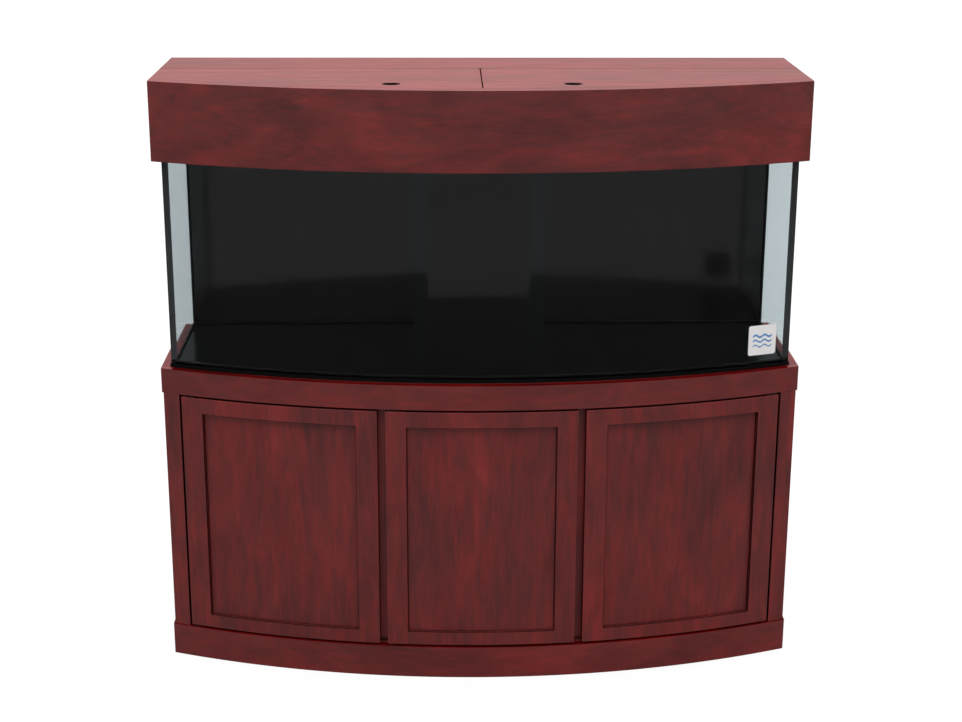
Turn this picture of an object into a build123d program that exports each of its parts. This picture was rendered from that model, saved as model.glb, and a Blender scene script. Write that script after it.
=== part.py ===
from build123d import *
from math import atan2, cos, degrees, pi, sin, sqrt
import os

# Bow-front aquarium on a three-door cabinet stand, with a lift-off canopy.
# Millimetres, +Z up, front towards -Y. The origin is on the floor under the middle of the object.

# ---------------------------------------------------------------- driving dimensions

CANOPY_WIDTH = 1880
CANOPY_SIDE_DEPTH = 479        # back to front corner
CANOPY_RISE = 180              # how far the bow stands forward of its corners
CANOPY_BOTTOM = 1543
CANOPY_TOP = 1772

CABINET_WIDTH = 1880
CABINET_SIDE_DEPTH = 469
CABINET_RISE = 179
RIM_WIDTH = 1890               # apron, rim strips and plinth stand out at the sides
PLINTH_TOP = 100
PLINTH_PROUD = 3.5             # plinth in front of the doors
APRON_BOTTOM = 848
STAND_TOP = 924

TANK_WIDTH = 1828.8
TANK_BACK = 24                 # clear of the object's back plane
TANK_SIDE_DEPTH = 455.5
TANK_RISE = 167.5
TANK_HEIGHT = 660
MAT = 3
GLASS = 12.7                   # walls
FLOOR_GLASS = 10
BOND = 1                       # silicone between two panes
SEAM_BEAD = 5                  # silicone along the inside of a joint
TRIM = 3                       # plastic trim round the foot of the tank
TRIM_HEIGHT = 10
BRACE = 80                     # width of the brace behind the bow pane and at both ends
BRACE_BACK = 40
BRACE_MIDDLE_HALF = 60

BOARD = 19
FACE_BOARD = 20                # doors, corner stiles and apron

DOOR_BOTTOM = 105
DOOR_TOP = 842
DOOR_OUTER_ARC = 904.5         # all arcs are measured along the cabinet's face from its middle
DOOR_INNER_ARC = 304.5
MIDDLE_DOOR_ARC = 281
OPENING_ARC = 911
STILE_WIDTH = 63
HINGE_STILE_WIDTH = 67
MIDDLE_STILE_WIDTH = 61.5
TOP_RAIL = 47
BOTTOM_RAIL = 42
PANEL = 6
PANEL_RECESS = 11
PANEL_TONGUE = 7.5
GROOVE_SLACK = 0.2
STOP = 15                      # batten behind each corner stile
STOP_LAP = 7.5                 # how far it reaches behind the door's hinge edge and behind the stile
STOP_CLEARANCE = 0.8           # round the path of the door's corner

CLEAT = 30                     # behind the plinth's front board
CLEAT_HEIGHT = 60
SLEEPER_XS = (-460, 0, 460)
SLEEPER_HALF = 19
FLOOR_DECK = 13
DECK_SETBACK = 11              # floor deck's front edge behind the mullions' faces
BACK_PANEL = 12
HOSE_CUTOUT_X = 620
HOSE_CUTOUT_Z = 560
HOSE_CUTOUT = (280, 160)       # width and height
HOSE_CUTOUT_R = 20

REAR_POST_XS = (-899, -300, 300, 899)
REAR_POST_HALF = 22
SIDE_POST = (897, 921)         # both posts behind the corner stiles, out from the middle
SIDE_POST_DEPTHS = (380, 440)
BEAM = 38
BEAM_HEIGHT = 89
FRONT_BEAM = 395               # near face of the front beam, from the back plane
JOIST_X = 292
CUTOUT_HALF = 165              # deck cut-out under the plumbing
CUTOUT_DEPTHS = (58, 166)

MULLION_ARC = 292.5
MULLION_WIDTH = 66
MULLION_RECESS = 25
MULLION_DEEP = 38

PIVOT_INSET = 10               # pivot axis from the door's edge and from its face
PIVOT_PIN_R = 3
PIVOT_BORE_R = 3.05
BUSH_R = 5
BUSH_LENGTH = 15
BUSH_FLANGE_R = 7
BUSH_FLANGE = 2
PIN_IN_BUSH = 12
PIVOT_PLATE_NEAR = 7           # plate's reach from the axis towards the hinge edge
PIVOT_PLATE_FAR = 28
PIVOT_PLATE_HALF = 6
PIVOT_TOP_PLATE = 2
PIVOT_PLAY = 0.3               # below the lower plate

MAGNET = 3.4
STRIKE = 1.3
MAGNET_WIDTH = 16
MAGNET_HEIGHT = 60

REAR_TOP_DEPTH = 232.5
LID_HINGE_DEPTH = 236
LID_HINGE_DROP = 2.7           # hinge axis below the canopy's top
LID_HINGE_GAP = 7
LID_SEAM = 4
FRONT_STRIP = 23
LID_FRONT_GAP = 1.5
CANOPY_NOTCH_X = 600
CANOPY_NOTCH_HALF = 90
CANOPY_NOTCH_RISE = 60         # above the top of the glass
RIB_HALF = 20
CORNER_BLOCK = 38
FINGER_HOLE_R = 25.4
FINGER_HOLE_X = 254
FINGER_HOLE_DEPTH = 531
HINGE_SPAN = (7, 933)          # piano hinge along each lid, out from the middle
KNUCKLES = 31                  # odd, so that both ends belong to the canopy's leaf
KNUCKLE_GAP = 0.4
KNUCKLE_R = 2.5
HINGE_PIN_R = 1.2
LEAF = 1.5

OVERFLOW_FRONT = 178           # outer face, from the object's back plane
OVERFLOW_HALF = 204
OVERFLOW_CORNER = 46           # its front corners are cut off at 45 degrees
OVERFLOW_TOP = 1560
OVERFLOW_WALL = 6
WEIR_SLOT = 5
WEIR_PITCH = 12
WEIR_DEEP = 40
WEIR_MARGIN = 16               # plain wall left beside each corner

PLUMBING_DEPTH = 112           # bulkhead axes, from the object's back plane
DRAIN_X = -95
RETURN_X = 95
DRAIN_PIPE_R = 24.15           # slip socket radius for the drain pipe
RETURN_PIPE_R = 16.75
PIPE_SLACK = 0.1
SOCKET = 32
GASKET = 2
BULKHEAD_FLANGE = 8
BULKHEAD_BOTTOM = 858
NUT = 24
STANDPIPE_DROP = 45            # below the top of the overflow box
RETURN_DROP = 25
RETURN_BEND = 30
RETURN_REACH = 120

EASE = 1.2                     # rounding of exposed wooden edges
BEYOND = 700                   # past the bow: boards start this deep and are then cut to the bow

# ---------------------------------------------------------------- derived values

BACK_Y = (CANOPY_SIDE_DEPTH + CANOPY_RISE) / 2
TANK_BOTTOM = STAND_TOP + MAT
TANK_TOP = TANK_BOTTOM + TANK_HEIGHT
TANK_FLOOR_TOP = TANK_BOTTOM + FLOOR_GLASS
TANK_BACK_INNER = TANK_BACK + GLASS
LID_BOTTOM = CANOPY_TOP - BOARD
SIDE_INNER = CABINET_WIDTH / 2 - BOARD
DECK_BOTTOM = STAND_TOP - BOARD
BEAM_BOTTOM = DECK_BOTTOM - BEAM_HEIGHT
REAR_BEAM = (BACK_PANEL, BACK_PANEL + BEAM)
FLOOR_DECK_TOP = PLINTH_TOP + FLOOR_DECK
PLINTH_BOARD = FACE_BOARD + 2
TANK_INNER = TANK_WIDTH / 2 - GLASS
HINGE_Z = CANOPY_TOP - LID_HINGE_DROP

os.makedirs("parts", exist_ok=True)


class Bow:
    """A circular bow in plan, bulging towards -Y. Depths are measured inwards from its face."""

    def __init__(self, half_width, corner_depth, rise):
        self.radius = (half_width**2 + rise**2) / (2 * rise)
        self.centre_y = BACK_Y - corner_depth - rise + self.radius

    def point(self, arc, depth):
        angle = arc / self.radius
        reach = self.radius - depth
        return (reach * sin(angle), self.centre_y - reach * cos(angle))

    def arc_at(self, x):
        return self.radius * atan2(x, sqrt(self.radius**2 - x**2))

    def board(self, arcs, depths, heights):
        """A curved board between two arcs, two depths and two heights."""
        arc_from, arc_to = arcs
        middle = (arc_from + arc_to) / 2
        front, back = depths
        outline = [
            ThreePointArc(*[self.point(arc, front) for arc in (arc_from, middle, arc_to)]),
            Line(self.point(arc_to, front), self.point(arc_to, back)),
            ThreePointArc(*[self.point(arc, back) for arc in (arc_to, middle, arc_from)]),
            Line(self.point(arc_from, back), self.point(arc_from, front)),
        ]
        return raised(make_face(outline), heights)

    def disc(self, depth, heights):
        """Everything behind the bow at a depth, as one tall disc that trims other boards."""
        low, high = heights
        disc = Cylinder(self.radius - depth, high - low)
        return Pos(0, self.centre_y, (low + high) / 2) * disc

    def place(self, arc, depth, z):
        """A frame on the bow: x along the face to the right, y inwards, z up."""
        x, y = self.point(arc, depth)
        return Pos(x, y, z) * Rot(0, 0, degrees(arc / self.radius))


CABINET = Bow(CABINET_WIDTH / 2, CABINET_SIDE_DEPTH, CABINET_RISE)
CANOPY = Bow(CANOPY_WIDTH / 2, CANOPY_SIDE_DEPTH, CANOPY_RISE)
TANK = Bow(TANK_WIDTH / 2, TANK_SIDE_DEPTH, TANK_RISE)


def raised(face, heights):
    low, high = heights
    return Pos(0, 0, low) * extrude(face, amount=high - low, dir=(0, 0, 1))


def block(x_range, depth_range, heights):
    """A box between two x values, two depths from the back plane and two heights."""
    x_low, x_high = sorted(x_range)
    near, far = depth_range
    low, high = heights
    centre = Pos((x_low + x_high) / 2, BACK_Y - (near + far) / 2, (low + high) / 2)
    return centre * Box(x_high - x_low, far - near, high - low)


def upright(x, depth, radius, heights):
    """A cylinder standing on a point given by x and depth from the back plane."""
    low, high = heights
    return Pos(x, BACK_Y - depth, (low + high) / 2) * Cylinder(radius, high - low)


def wide(bow, half_width, depths, heights):
    """A bowed board cut off square at both sides."""
    arc = bow.arc_at(half_width) + 40
    board = bow.board((-arc, arc), depths, heights)
    return board & block((-half_width, half_width), (-100, 900), heights)


def top_edges(solid):
    return solid.edges().group_by(Axis.Z)[-1]


def front_top_edge(solid):
    return top_edges(solid).sort_by(Axis.Y)[0]


def outer_top_edge(solid, side):
    return top_edges(solid).filter_by(Axis.Y).sort_by(lambda edge: side * edge.center().X)[-1]


# ---------------------------------------------------------------- stand: plinth

def plinth_front():
    heights = (0, PLINTH_TOP)
    depths = (-PLINTH_PROUD, PLINTH_BOARD - PLINTH_PROUD)
    board = wide(CABINET, RIM_WIDTH / 2, depths, heights)
    board = fillet(front_top_edge(board), EASE)
    for arc in pivot_arcs():
        board -= bush_body(arc, PLINTH_TOP - BUSH_LENGTH / 2)
    return board


def plinth_side(side):
    outer, inner = side * RIM_WIDTH / 2, side * SIDE_INNER
    heights = (0, PLINTH_TOP)
    board = block((outer, inner), (0, CABINET_SIDE_DEPTH), heights)
    board &= CABINET.disc(PLINTH_BOARD - PLINTH_PROUD, heights)
    return fillet(outer_top_edge(board, side), EASE)


def plinth_back():
    return block((-SIDE_INNER, SIDE_INNER), (0, BOARD), (0, PLINTH_TOP))


def plinth_sleepers():
    """Three sleepers from back to front, and a bowed cleat that carries the deck's front edge."""
    heights = (0, PLINTH_TOP)
    cleat_depths = (PLINTH_BOARD - PLINTH_PROUD, PLINTH_BOARD - PLINTH_PROUD + CLEAT)
    trim = CABINET.disc(cleat_depths[1], heights)
    spans = [(x - SLEEPER_HALF, x + SLEEPER_HALF) for x in SLEEPER_XS]
    sleepers = [block(span, (BOARD, BEYOND), heights) & trim for span in spans]
    return sleepers + [wide(CABINET, SIDE_INNER, cleat_depths, (PLINTH_TOP - CLEAT_HEIGHT, PLINTH_TOP))]


# ---------------------------------------------------------------- stand: carcass

def floor_deck():
    heights = (PLINTH_TOP, FLOOR_DECK_TOP)
    deck = block((-SIDE_INNER, SIDE_INNER), (BACK_PANEL, BEYOND), heights)
    return deck & CABINET.disc(MULLION_RECESS + DECK_SETBACK, heights)


def side_panel(side):
    heights = (PLINTH_TOP, DECK_BOTTOM)
    panel = block((side * CABINET_WIDTH / 2, side * SIDE_INNER), (0, CABINET_SIDE_DEPTH), heights)
    return panel & CABINET.disc(FACE_BOARD, heights)


def back_panel():
    """Back panel with two rounded cut-outs for hoses and leads."""
    panel = block((-SIDE_INNER, SIDE_INNER), (0, BACK_PANEL), (PLINTH_TOP, DECK_BOTTOM))
    hole = extrude(RectangleRounded(*HOSE_CUTOUT, HOSE_CUTOUT_R), 2 * BACK_PANEL, both=True)
    for x in (-HOSE_CUTOUT_X, HOSE_CUTOUT_X):
        panel -= Pos(x, BACK_Y, HOSE_CUTOUT_Z) * Rot(90, 0, 0) * hole
    return panel


def corner_sweep(side, heights):
    """The round space that an outer door's front corner turns in."""
    low, high = heights
    sweep = Cylinder(sqrt(2) * PIVOT_INSET + STOP_CLEARANCE, high - low + 2)
    return CABINET.place(side * (DOOR_OUTER_ARC - PIVOT_INSET), PIVOT_INSET, (low + high) / 2) * sweep


def corner_stile(side):
    """A stile, and the batten behind it that closes the gap beside the door."""
    heights = (PLINTH_TOP, APRON_BOTTOM)
    arcs = sorted((side * OPENING_ARC, side * (OPENING_ARC + 90)))
    stile = CABINET.board(arcs, (0, FACE_BOARD), heights)
    stop_arcs = sorted((side * (DOOR_OUTER_ARC - STOP_LAP), side * (OPENING_ARC + STOP_LAP)))
    stop = CABINET.board(stop_arcs, (FACE_BOARD, FACE_BOARD + STOP), heights)
    stop -= corner_sweep(side, heights)
    return [stile & block((side * CABINET_WIDTH / 2, 0), (0, BEYOND), heights), stop]


def apron():
    board = wide(CABINET, RIM_WIDTH / 2, (0, FACE_BOARD), (APRON_BOTTOM, STAND_TOP))
    board = fillet(front_top_edge(board), EASE)
    for arc in pivot_arcs():
        board -= bush_body(arc, APRON_BOTTOM + BUSH_LENGTH / 2)
    return board


def rim_strip(side):
    heights = (APRON_BOTTOM, STAND_TOP)
    strip = block((side * RIM_WIDTH / 2, side * CABINET_WIDTH / 2), (0, CABINET_SIDE_DEPTH), heights)
    strip &= CABINET.disc(FACE_BOARD, heights)
    return fillet(outer_top_edge(strip, side), EASE)


def mullions():
    """Posts behind the slots between the doors; they carry the deck."""
    depths = (MULLION_RECESS, MULLION_RECESS + MULLION_DEEP)
    heights = (FLOOR_DECK_TOP, DECK_BOTTOM)
    half = MULLION_WIDTH / 2
    return [CABINET.board((arc - half, arc + half), depths, heights) for arc in (-MULLION_ARC, MULLION_ARC)]


def frame_posts():
    """Rear posts and the two posts behind the corner stiles."""
    heights = (FLOOR_DECK_TOP, BEAM_BOTTOM)
    near, far = SIDE_POST
    posts = [block((x - REAR_POST_HALF, x + REAR_POST_HALF), REAR_BEAM, heights) for x in REAR_POST_XS]
    posts += [block((side * near, side * far), SIDE_POST_DEPTHS, heights) for side in (-1, 1)]
    return posts


def deck_beams():
    """Front and rear beams with two joists that reach the mullions."""
    heights = (BEAM_BOTTOM, DECK_BOTTOM)
    front = (FRONT_BEAM, FRONT_BEAM + BEAM)
    beams = [block((-SIDE_INNER, SIDE_INNER), depths, heights) for depths in (REAR_BEAM, front)]
    trim = CABINET.disc(MULLION_RECESS + MULLION_DEEP, heights)
    for x in (-JOIST_X, JOIST_X):
        span = (x - BEAM / 2, x + BEAM / 2)
        beams.append(block(span, (REAR_BEAM[1], front[0]), heights))
        beams.append(block(span, (front[1], BEYOND), heights) & trim)
    return beams


def top_deck():
    heights = (DECK_BOTTOM, STAND_TOP)
    deck = block((-CABINET_WIDTH / 2, CABINET_WIDTH / 2), (0, BEYOND), heights)
    deck &= CABINET.disc(FACE_BOARD, heights)
    return deck - plumbing_cutout((DECK_BOTTOM - 10, STAND_TOP + 10))


def plumbing_cutout(heights):
    return block((-CUTOUT_HALF, CUTOUT_HALF), CUTOUT_DEPTHS, heights)


# ---------------------------------------------------------------- stand: doors

def doors():
    """Door name to its arcs, the side of its hinge and the widths of its two stiles."""
    left_arcs = (-DOOR_OUTER_ARC, -DOOR_INNER_ARC)
    middle_arcs = (-MIDDLE_DOOR_ARC, MIDDLE_DOOR_ARC)
    right_arcs = (DOOR_INNER_ARC, DOOR_OUTER_ARC)
    return {
        "left": {"arcs": left_arcs, "hinge": -1, "stiles": (HINGE_STILE_WIDTH, STILE_WIDTH)},
        "middle": {"arcs": middle_arcs, "hinge": -1, "stiles": (MIDDLE_STILE_WIDTH, MIDDLE_STILE_WIDTH)},
        "right": {"arcs": right_arcs, "hinge": 1, "stiles": (STILE_WIDTH, HINGE_STILE_WIDTH)},
    }


def pivot_arc(door):
    edge = door["arcs"][0] if door["hinge"] < 0 else door["arcs"][1]
    return edge - door["hinge"] * PIVOT_INSET


def pivot_arcs():
    return [pivot_arc(door) for door in doors().values()]


def panel_arcs(door, tongue):
    return (door["arcs"][0] + door["stiles"][0] - tongue, door["arcs"][1] - door["stiles"][1] + tongue)


def panel_heights(tongue):
    return (DOOR_BOTTOM + BOTTOM_RAIL - tongue, DOOR_TOP - TOP_RAIL + tongue)


def door_groove(door):
    tongue = PANEL_TONGUE + 0.5
    depths = (PANEL_RECESS - GROOVE_SLACK / 2, PANEL_RECESS + PANEL + GROOVE_SLACK / 2)
    return CABINET.board(panel_arcs(door, tongue), depths, panel_heights(tongue))


def hinge_corner(door):
    """What is cut from the hinge edge's back corner, so that it turns inside its pivot radius."""
    height = DOOR_TOP - DOOR_BOTTOM
    size = PIVOT_INSET + 4
    corner = Pos(door["hinge"] * size / 2, size / 2, 0) * Box(size, size, height + 2)
    corner -= Cylinder(PIVOT_INSET + 0.1, height + 4)
    return CABINET.place(pivot_arc(door), PIVOT_INSET, (DOOR_TOP + DOOR_BOTTOM) / 2) * corner


def door_frame(door):
    """Two stiles and two rails, grooved for the panel."""
    depths = (0, FACE_BOARD)
    heights = (DOOR_BOTTOM, DOOR_TOP)
    first, last = door["arcs"]
    inner_first, inner_last = panel_arcs(door, 0)
    stiles = [
        CABINET.board((first, inner_first), depths, heights),
        CABINET.board((inner_last, last), depths, heights),
    ]
    rails = [
        CABINET.board((inner_first, inner_last), depths, (DOOR_BOTTOM, DOOR_BOTTOM + BOTTOM_RAIL)),
        CABINET.board((inner_first, inner_last), depths, (DOOR_TOP - TOP_RAIL, DOOR_TOP)),
    ]
    groove, corner = door_groove(door), hinge_corner(door)
    return [piece - groove - corner for piece in stiles + rails]


def door_panel(door):
    depths = (PANEL_RECESS, PANEL_RECESS + PANEL)
    return CABINET.board(panel_arcs(door, PANEL_TONGUE), depths, panel_heights(PANEL_TONGUE))


def door_pivot(door, plate_heights, pin_heights):
    """A pivot plate on the door's top or bottom edge, with its pin."""
    arc, towards_edge = pivot_arc(door), door["hinge"]
    arcs = sorted((arc + towards_edge * PIVOT_PLATE_NEAR, arc - towards_edge * PIVOT_PLATE_FAR))
    depths = (PIVOT_INSET - PIVOT_PLATE_HALF, PIVOT_INSET + PIVOT_PLATE_HALF)
    low, high = pin_heights
    pin = CABINET.place(arc, PIVOT_INSET, (low + high) / 2) * Cylinder(PIVOT_PIN_R, high - low)
    return CABINET.board(arcs, depths, plate_heights) + pin


def door_pivots(door):
    pin_top = APRON_BOTTOM + PIN_IN_BUSH
    upper = door_pivot(door, (DOOR_TOP, DOOR_TOP + PIVOT_TOP_PLATE), (DOOR_TOP, pin_top))
    plate_bottom = PLINTH_TOP + BUSH_FLANGE + PIVOT_PLAY
    lower = door_pivot(door, (plate_bottom, DOOR_BOTTOM), (PLINTH_TOP - PIN_IN_BUSH, DOOR_BOTTOM))
    return [upper, lower]


def catch_arc(door):
    """Middle of the magnet bar behind the free edge."""
    free_edge = door["arcs"][1] if door["hinge"] < 0 else door["arcs"][0]
    return free_edge + door["hinge"] * (MAGNET_WIDTH / 2 + 2.5)


CATCH_HEIGHTS = ((180, 180 + MAGNET_HEIGHT), (700, 700 + MAGNET_HEIGHT))


def door_strikes(door):
    arc = catch_arc(door)
    arcs = (arc - MAGNET_WIDTH / 2, arc + MAGNET_WIDTH / 2)
    return [CABINET.board(arcs, (FACE_BOARD, FACE_BOARD + STRIKE), heights) for heights in CATCH_HEIGHTS]


def catch_magnets():
    depths = (MULLION_RECESS - MAGNET, MULLION_RECESS)
    bars = []
    for door in doors().values():
        arc = catch_arc(door)
        arcs = (arc - MAGNET_WIDTH / 2, arc + MAGNET_WIDTH / 2)
        bars += [CABINET.board(arcs, depths, heights) for heights in CATCH_HEIGHTS]
    return bars


def bush_body(arc, middle_z):
    return CABINET.place(arc, PIVOT_INSET, middle_z) * Cylinder(BUSH_R, BUSH_LENGTH)


def pivot_bush(arc, face_z, direction):
    """A flanged bush let into wood from face_z, its flange on the door's side."""
    body = bush_body(arc, face_z - direction * BUSH_LENGTH / 2)
    flange = Cylinder(BUSH_FLANGE_R, BUSH_FLANGE)
    flange = CABINET.place(arc, PIVOT_INSET, face_z + direction * BUSH_FLANGE / 2) * flange
    bore = CABINET.place(arc, PIVOT_INSET, face_z) * Cylinder(PIVOT_BORE_R, 3 * BUSH_LENGTH)
    return body + flange - bore


def pivot_bushes():
    bushes = []
    for arc in pivot_arcs():
        bushes.append(pivot_bush(arc, PLINTH_TOP, 1))
        bushes.append(pivot_bush(arc, APRON_BOTTOM, -1))
    return bushes


# ---------------------------------------------------------------- tank

def tank_outline(grow, heights):
    """The tank's plan, grown by some millimetres, as a solid between two heights."""
    half = TANK_WIDTH / 2 + grow
    plan = block((-half, half), (TANK_BACK - grow, BEYOND), heights)
    return plan & TANK.disc(-grow, heights)


def levelling_mat():
    heights = (STAND_TOP, TANK_BOTTOM)
    return tank_outline(0, heights) - plumbing_cutout((STAND_TOP - 5, TANK_BOTTOM + 5))


def bottom_trim():
    heights = (STAND_TOP, STAND_TOP + TRIM_HEIGHT)
    return tank_outline(TRIM, heights) - tank_outline(0, (STAND_TOP - 5, STAND_TOP + TRIM_HEIGHT + 5))


def bulkheads():
    """Name to x, socket radius, body radius and flange radius."""
    return {
        "drain": {"x": DRAIN_X, "socket": DRAIN_PIPE_R, "body": 30, "flange": 43},
        "return": {"x": RETURN_X, "socket": RETURN_PIPE_R, "body": 22, "flange": 34},
    }


def tank_floor():
    heights = (TANK_BOTTOM, TANK_FLOOR_TOP)
    pane = tank_outline(-GLASS - BOND, heights)
    through = (TANK_BOTTOM - 5, TANK_FLOOR_TOP + 5)
    for fitting in bulkheads().values():
        pane -= upright(fitting["x"], PLUMBING_DEPTH, fitting["body"] + 0.5, through)
    return pane


def tank_back():
    return block((-TANK_WIDTH / 2, TANK_WIDTH / 2), (TANK_BACK, TANK_BACK_INNER), (TANK_BOTTOM, TANK_TOP))


def tank_front():
    return wide(TANK, TANK_WIDTH / 2, (0, GLASS), (TANK_BOTTOM, TANK_TOP))


def tank_end(side):
    heights = (TANK_BOTTOM, TANK_TOP)
    pane = block((side * TANK_WIDTH / 2, side * TANK_INNER), (TANK_BACK_INNER + BOND, BEYOND), heights)
    return pane & TANK.disc(GLASS + BOND, heights)


def top_brace():
    """Glass strips bonded inside the top edge, and one across the middle above the overflow box."""
    heights = (TANK_TOP - GLASS, TANK_TOP)
    back_from = TANK_BACK_INNER + BOND
    back_to = back_from + BRACE_BACK
    half = TANK_INNER - BOND
    behind_front = TANK.disc(GLASS + BOND + BRACE, heights)
    back = block((-half, half), (back_from, back_to), heights)
    front = wide(TANK, half, (GLASS + BOND, GLASS + BOND + BRACE), heights)
    across = [(-half, -half + BRACE), (-BRACE_MIDDLE_HALF, BRACE_MIDDLE_HALF), (half - BRACE, half)]
    return [back, front] + [block(span, (back_to, BEYOND), heights) & behind_front for span in across]


def back_seam(side):
    """Upright corner between the back pane and an end pane: the bond and an inner bead."""
    outer, inner = side * TANK_WIDTH / 2, side * TANK_INNER
    bond = block((outer, inner), (TANK_BACK_INNER, TANK_BACK_INNER + BOND), (TANK_BOTTOM, TANK_TOP))
    depths = (TANK_BACK_INNER, TANK_BACK_INNER + SEAM_BEAD)
    return bond + block((inner, inner - side * SEAM_BEAD), depths, (TANK_FLOOR_TOP, TANK_TOP - GLASS))


def front_seam(side):
    """Upright corner between the bow pane and an end pane."""
    outer, inner = side * TANK_WIDTH / 2, side * TANK_INNER
    full, above_floor = (TANK_BOTTOM, TANK_TOP), (TANK_FLOOR_TOP, TANK_TOP - GLASS)
    bond = wide(TANK, TANK_WIDTH / 2, (GLASS, GLASS + BOND), full)
    bead = wide(TANK, TANK_WIDTH / 2, (GLASS, GLASS + BOND + SEAM_BEAD), above_floor)
    bond &= block((outer, inner), (0, BEYOND), full)
    return bond + (bead & block((inner, inner - side * SEAM_BEAD), (0, BEYOND), above_floor))


def floor_seams():
    """Beads round the floor, stopped short of the corners and of the overflow box."""
    heights = (TANK_FLOOR_TOP, TANK_FLOOR_TOP + SEAM_BEAD)
    half = TANK_INNER - SEAM_BEAD
    back_depths = (TANK_BACK_INNER, TANK_BACK_INNER + SEAM_BEAD)
    seams = [wide(TANK, half, (GLASS, GLASS + SEAM_BEAD), heights)]
    seams += [block((side * half, side * OVERFLOW_HALF), back_depths, heights) for side in (-1, 1)]
    behind_front = TANK.disc(GLASS + BOND + SEAM_BEAD, heights)
    for side in (-1, 1):
        seam = block((side * TANK_INNER, side * half), (TANK_BACK_INNER + SEAM_BEAD, BEYOND), heights)
        seams.append(seam & behind_front)
    return seams


def silicone_seams():
    return [seam(side) for side in (-1, 1) for seam in (back_seam, front_seam)] + floor_seams()


def overflow_plan(inset):
    """The overflow box in plan, its side, corner and front walls moved inwards."""
    shortening = inset * (sqrt(2) - 1)
    side, front = OVERFLOW_HALF - inset, OVERFLOW_FRONT - inset
    shoulder = OVERFLOW_HALF - OVERFLOW_CORNER - shortening
    y_back, y_front = BACK_Y - TANK_BACK_INNER, BACK_Y - front
    y_corner = BACK_Y - (OVERFLOW_FRONT - OVERFLOW_CORNER - shortening)
    half = [(side, y_back), (side, y_corner), (shoulder, y_front)]
    mirrored = [(-x, y) for x, y in reversed(half)]
    return make_face(Polyline(*half, *mirrored, close=True))


def weir_row(centre, turn, length):
    """A row of slots along one wall, open at the top."""
    steps = int((length / 2 - WEIR_MARGIN) / WEIR_PITCH)
    slot = Box(WEIR_SLOT, 3 * OVERFLOW_WALL, WEIR_DEEP + 10)
    offsets = [step * WEIR_PITCH for step in range(-steps, steps + 1)]
    return [centre * Rot(0, 0, turn) * Pos(offset, 0, 0) * slot for offset in offsets]


def weir_slots():
    z = OVERFLOW_TOP - WEIR_DEEP / 2 + 5
    middle_wall = OVERFLOW_WALL / 2
    corner_depth = OVERFLOW_FRONT - OVERFLOW_CORNER
    front = Pos(0, BACK_Y - OVERFLOW_FRONT + middle_wall, z)
    slots = weir_row(front, 0, 2 * (OVERFLOW_HALF - OVERFLOW_CORNER))
    for side in (-1, 1):
        wall_depth = (TANK_BACK_INNER + corner_depth) / 2
        wall = Pos(side * (OVERFLOW_HALF - middle_wall), BACK_Y - wall_depth, z)
        slots += weir_row(wall, 90, corner_depth - TANK_BACK_INNER)
        inward = OVERFLOW_CORNER / 2 + middle_wall / sqrt(2)
        corner = Pos(side * (OVERFLOW_HALF - inward), BACK_Y - OVERFLOW_FRONT + inward, z)
        slots += weir_row(corner, side * 45, OVERFLOW_CORNER * sqrt(2))
    return slots


def return_notch():
    """Round-bottomed notch where the return pipe crosses the weir."""
    radius, z = RETURN_PIPE_R + 1, OVERFLOW_TOP - RETURN_DROP
    depths = (OVERFLOW_FRONT - 20, OVERFLOW_FRONT + 20)
    notch = block((RETURN_X - radius, RETURN_X + radius), depths, (z, OVERFLOW_TOP + 5))
    return notch + Pos(RETURN_X, BACK_Y - OVERFLOW_FRONT, z) * Rot(90, 0, 0) * Cylinder(radius, 40)


def overflow_box():
    box = raised(overflow_plan(0), (TANK_FLOOR_TOP, OVERFLOW_TOP))
    box -= raised(overflow_plan(OVERFLOW_WALL), (TANK_FLOOR_TOP - 5, OVERFLOW_TOP + 5))
    for slot in weir_slots():
        box -= slot
    return box - return_notch()


def bulkhead(fitting):
    """A flanged through-fitting with a slip socket at each end."""
    flange_low = TANK_FLOOR_TOP + GASKET
    top = flange_low + BULKHEAD_FLANGE
    x, socket = fitting["x"], fitting["socket"]
    body = upright(x, PLUMBING_DEPTH, fitting["body"], (BULKHEAD_BOTTOM, top))
    body += upright(x, PLUMBING_DEPTH, fitting["flange"], (flange_low, top))
    body -= upright(x, PLUMBING_DEPTH, socket - 4, (BULKHEAD_BOTTOM - 5, top + 5))
    body -= upright(x, PLUMBING_DEPTH, socket, (BULKHEAD_BOTTOM - 5, BULKHEAD_BOTTOM + SOCKET))
    return body - upright(x, PLUMBING_DEPTH, socket, (top - SOCKET, top + 5))


def washer(fitting, outer, heights):
    low, high = heights
    ring = upright(fitting["x"], PLUMBING_DEPTH, outer, heights)
    return ring - upright(fitting["x"], PLUMBING_DEPTH, fitting["body"], (low - 5, high + 5))


def bulkhead_gaskets():
    heights = (TANK_FLOOR_TOP, TANK_FLOOR_TOP + GASKET)
    return [washer(fitting, fitting["flange"] - 1, heights) for fitting in bulkheads().values()]


def bulkhead_nut(fitting):
    heights = (TANK_BOTTOM - NUT, TANK_BOTTOM)
    hexagon = RegularPolygon(fitting["body"] + 9, 6, major_radius=False)
    nut = Pos(fitting["x"], BACK_Y - PLUMBING_DEPTH, 0) * raised(hexagon, heights)
    return nut & washer(fitting, 100, heights)


def bulkhead_nuts():
    return [bulkhead_nut(fitting) for fitting in bulkheads().values()]


def pipe_bottom():
    """A pipe's lower end, 2 mm off the shoulder of its socket."""
    return TANK_FLOOR_TOP + GASKET + BULKHEAD_FLANGE - SOCKET + 2


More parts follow.
